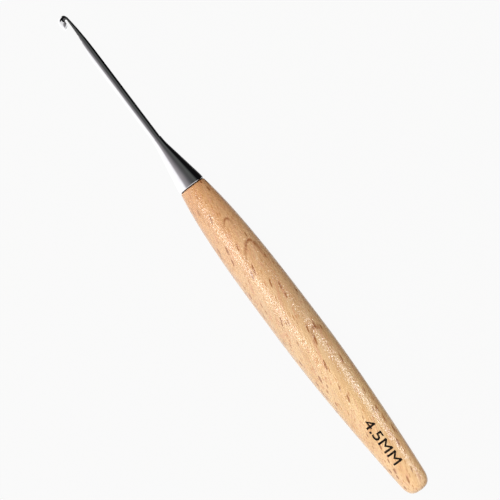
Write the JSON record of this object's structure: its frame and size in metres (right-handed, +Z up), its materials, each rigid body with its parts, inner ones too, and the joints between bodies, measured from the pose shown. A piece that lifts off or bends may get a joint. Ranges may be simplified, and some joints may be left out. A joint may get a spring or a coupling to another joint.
{
  "type": "crochet hook",
  "caption": "Slim steel hook needle in a polished cone ferrule on a swelling turned beech handle, for hooking and looping yarn.",
  "frame": {"origin": "under the middle of the tool, on the surface that it lies on", "axes": "+X along the tool from the butt to the hook's nose, +Y to the side that the hook's lip is on, +Z up"},
  "size_m": [0.172, 0.0136, 0.0135],
  "materials": {
    "polished_steel": "polished",
    "polished_ferrule": "polished",
    "beech": "satin lacquer",
    "adhesive": "cured, semi-matt"
  },
  "bodies": {
    "root": {"hook_needle": "polished_steel", "ferrule": "polished_ferrule", "wood_handle": "beech", "ferrule_bond": "adhesive", "tang_bond": "adhesive"}
  },
  "joints": []
}
